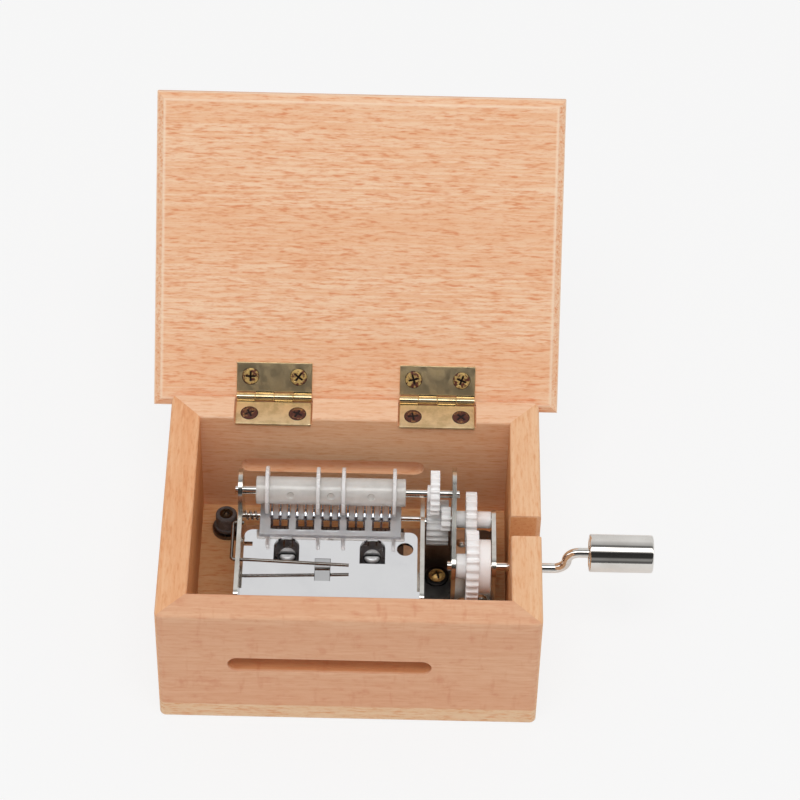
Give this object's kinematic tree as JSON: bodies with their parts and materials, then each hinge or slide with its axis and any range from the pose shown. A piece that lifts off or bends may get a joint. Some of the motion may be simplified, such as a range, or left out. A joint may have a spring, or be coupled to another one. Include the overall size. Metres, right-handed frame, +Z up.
{
  "type": "hand-cranked music box",
  "caption": "Hand-cranked punched-strip music movement in an open beech case with a hinged lid, paper slots front and back, and a chrome crank.",
  "frame": {"origin": "centre of the case's underside", "axes": "+X to the crank's side, +Y to the hinges, +Z up"},
  "size_m": [0.1181, 0.1193, 0.0908],
  "materials": {
    "beech": "fine sanded, clear",
    "beech_board": "fine sanded, clear",
    "hinge_brass": "polished",
    "hinge_screws": "tarnished brown",
    "nickel_plate": "nickel plated",
    "table_nickel": "mirror nickel",
    "bright_steel": "drawn and polished",
    "comb_steel": "ground",
    "comb_block": "die cast",
    "star_steel": "stamped",
    "milky_plastic": "milky, satin",
    "white_plastic": "moulded white",
    "grey_plastic": "moulded, greyish white",
    "crank_chrome": "polished chrome",
    "black_rubber": "dull",
    "dark_washer": "blackened",
    "board_screws": "bright zinc"
  },
  "bodies": {
    "case": {"bottom_board": "beech_board", "front_wall": "beech", "back_wall": "beech", "left_wall": "beech", "right_wall": "beech", "left_hinge_box_leaf": "hinge_brass", "right_hinge_box_leaf": "hinge_brass", "hinge_pins": "hinge_brass", "hinge_box_screws": "hinge_screws", "movement_base": "nickel_plate", "left_side_plate": "nickel_plate", "middle_side_plate": "nickel_plate", "gear_plate": "nickel_plate", "outer_gear_plate": "nickel_plate", "frame_rivets": "nickel_plate", "tie_rod": "bright_steel", "table_plate": "table_nickel", "paper_guide": "milky_plastic", "hold_down_wire": "bright_steel", "star_axle": "bright_steel", "axle_spring": "bright_steel", "comb": "comb_steel", "comb_block": "comb_block", "comb_screws": "bright_steel", "idler_axle": "bright_steel", "board_washer": "dark_washer", "rubber_bush": "black_rubber", "board_screws": "board_screws"},
    "lid": {"lid_board": "beech", "left_hinge_lid_leaf": "hinge_brass", "right_hinge_lid_leaf": "hinge_brass", "hinge_lid_screws": "hinge_screws"},
    "crank": {"crank_rod": "crank_chrome", "crank_gear": "white_plastic"},
    "knob": {"crank_knob": "crank_chrome"},
    "lay": {"lay_gear": "white_plastic", "lay_pinion": "grey_plastic", "lay_shaft": "bright_steel"},
    "idler": {"idler_gear": "grey_plastic"},
    "roller": {"roller_shaft": "bright_steel", "feed_roller": "milky_plastic", "feed_discs": "milky_plastic", "roller_gear": "white_plastic"},
    "star_wheel_01": {"star_wheel_01": "star_steel"},
    "star_wheel_02": {"star_wheel_02": "star_steel"},
    "star_wheel_03": {"star_wheel_03": "star_steel"},
    "star_wheel_04": {"star_wheel_04": "star_steel"},
    "star_wheel_05": {"star_wheel_05": "star_steel"},
    "star_wheel_06": {"star_wheel_06": "star_steel"},
    "star_wheel_07": {"star_wheel_07": "star_steel"},
    "star_wheel_08": {"star_wheel_08": "star_steel"},
    "star_wheel_09": {"star_wheel_09": "star_steel"},
    "star_wheel_10": {"star_wheel_10": "star_steel"},
    "star_wheel_11": {"star_wheel_11": "star_steel"},
    "star_wheel_12": {"star_wheel_12": "star_steel"},
    "star_wheel_13": {"star_wheel_13": "star_steel"},
    "star_wheel_14": {"star_wheel_14": "star_steel"},
    "star_wheel_15": {"star_wheel_15": "star_steel"}
  },
  "joints": [
    {"name": "lid_hinge", "type": "hinge", "parent": "case", "child": "lid", "pos_m": [0, 0.0342, 0.03605], "axis": [1, 0, 0], "range_deg": [0, 128.75]},
    {"name": "crank_turn", "type": "hinge", "parent": "case", "child": "crank", "pos_m": [0.04, -0.0046, 0.0215], "axis": [1, 0, 0], "continuous": true},
    {"name": "knob_spin", "type": "hinge", "parent": "crank", "child": "knob", "pos_m": [0.06, -0.0046, 0.0273], "axis": [1, 0, 0], "continuous": true},
    {"name": "lay_turn", "type": "hinge", "parent": "case", "child": "lay", "pos_m": [0.028, 0.00919, 0.0221], "axis": [1, 0, 0], "continuous": true},
    {"name": "idler_turn", "type": "hinge", "parent": "case", "child": "idler", "pos_m": [0.02, 0.01335, 0.01586], "axis": [1, 0, 0], "continuous": true},
    {"name": "roller_turn", "type": "hinge", "parent": "case", "child": "roller", "pos_m": [-0.00525, 0.0138, 0.02585], "axis": [1, 0, 0], "continuous": true},
    {"name": "star_wheel_01_turn", "type": "hinge", "parent": "case", "child": "star_wheel_01", "pos_m": [-0.01925, 0.013, 0.0175], "axis": [1, 0, 0], "continuous": true},
    {"name": "star_wheel_02_turn", "type": "hinge", "parent": "case", "child": "star_wheel_02", "pos_m": [-0.01725, 0.013, 0.0175], "axis": [1, 0, 0], "continuous": true},
    {"name": "star_wheel_03_turn", "type": "hinge", "parent": "case", "child": "star_wheel_03", "pos_m": [-0.01525, 0.013, 0.0175], "axis": [1, 0, 0], "continuous": true},
    {"name": "star_wheel_04_turn", "type": "hinge", "parent": "case", "child": "star_wheel_04", "pos_m": [-0.01325, 0.013, 0.0175], "axis": [1, 0, 0], "continuous": true},
    {"name": "star_wheel_05_turn", "type": "hinge", "parent": "case", "child": "star_wheel_05", "pos_m": [-0.01125, 0.013, 0.0175], "axis": [1, 0, 0], "continuous": true},
    {"name": "star_wheel_06_turn", "type": "hinge", "parent": "case", "child": "star_wheel_06", "pos_m": [-0.00925, 0.013, 0.0175], "axis": [1, 0, 0], "continuous": true},
    {"name": "star_wheel_07_turn", "type": "hinge", "parent": "case", "child": "star_wheel_07", "pos_m": [-0.00725, 0.013, 0.0175], "axis": [1, 0, 0], "continuous": true},
    {"name": "star_wheel_08_turn", "type": "hinge", "parent": "case", "child": "star_wheel_08", "pos_m": [-0.00525, 0.013, 0.0175], "axis": [1, 0, 0], "continuous": true},
    {"name": "star_wheel_09_turn", "type": "hinge", "parent": "case", "child": "star_wheel_09", "pos_m": [-0.00325, 0.013, 0.0175], "axis": [1, 0, 0], "continuous": true},
    {"name": "star_wheel_10_turn", "type": "hinge", "parent": "case", "child": "star_wheel_10", "pos_m": [-0.00125, 0.013, 0.0175], "axis": [1, 0, 0], "continuous": true},
    {"name": "star_wheel_11_turn", "type": "hinge", "parent": "case", "child": "star_wheel_11", "pos_m": [0.00075, 0.013, 0.0175], "axis": [1, 0, 0], "continuous": true},
    {"name": "star_wheel_12_turn", "type": "hinge", "parent": "case", "child": "star_wheel_12", "pos_m": [0.00275, 0.013, 0.0175], "axis": [1, 0, 0], "continuous": true},
    {"name": "star_wheel_13_turn", "type": "hinge", "parent": "case", "child": "star_wheel_13", "pos_m": [0.00475, 0.013, 0.0175], "axis": [1, 0, 0], "continuous": true},
    {"name": "star_wheel_14_turn", "type": "hinge", "parent": "case", "child": "star_wheel_14", "pos_m": [0.00675, 0.013, 0.0175], "axis": [1, 0, 0], "continuous": true},
    {"name": "star_wheel_15_turn", "type": "hinge", "parent": "case", "child": "star_wheel_15", "pos_m": [0.00875, 0.013, 0.0175], "axis": [1, 0, 0], "continuous": true}
  ],
  "couplings": [
    {"joint": "lay_turn", "follows": "crank_turn", "ratio": -1.3},
    {"joint": "idler_turn", "follows": "crank_turn", "ratio": 0.65},
    {"joint": "roller_turn", "follows": "crank_turn", "ratio": -0.65}
  ]
}
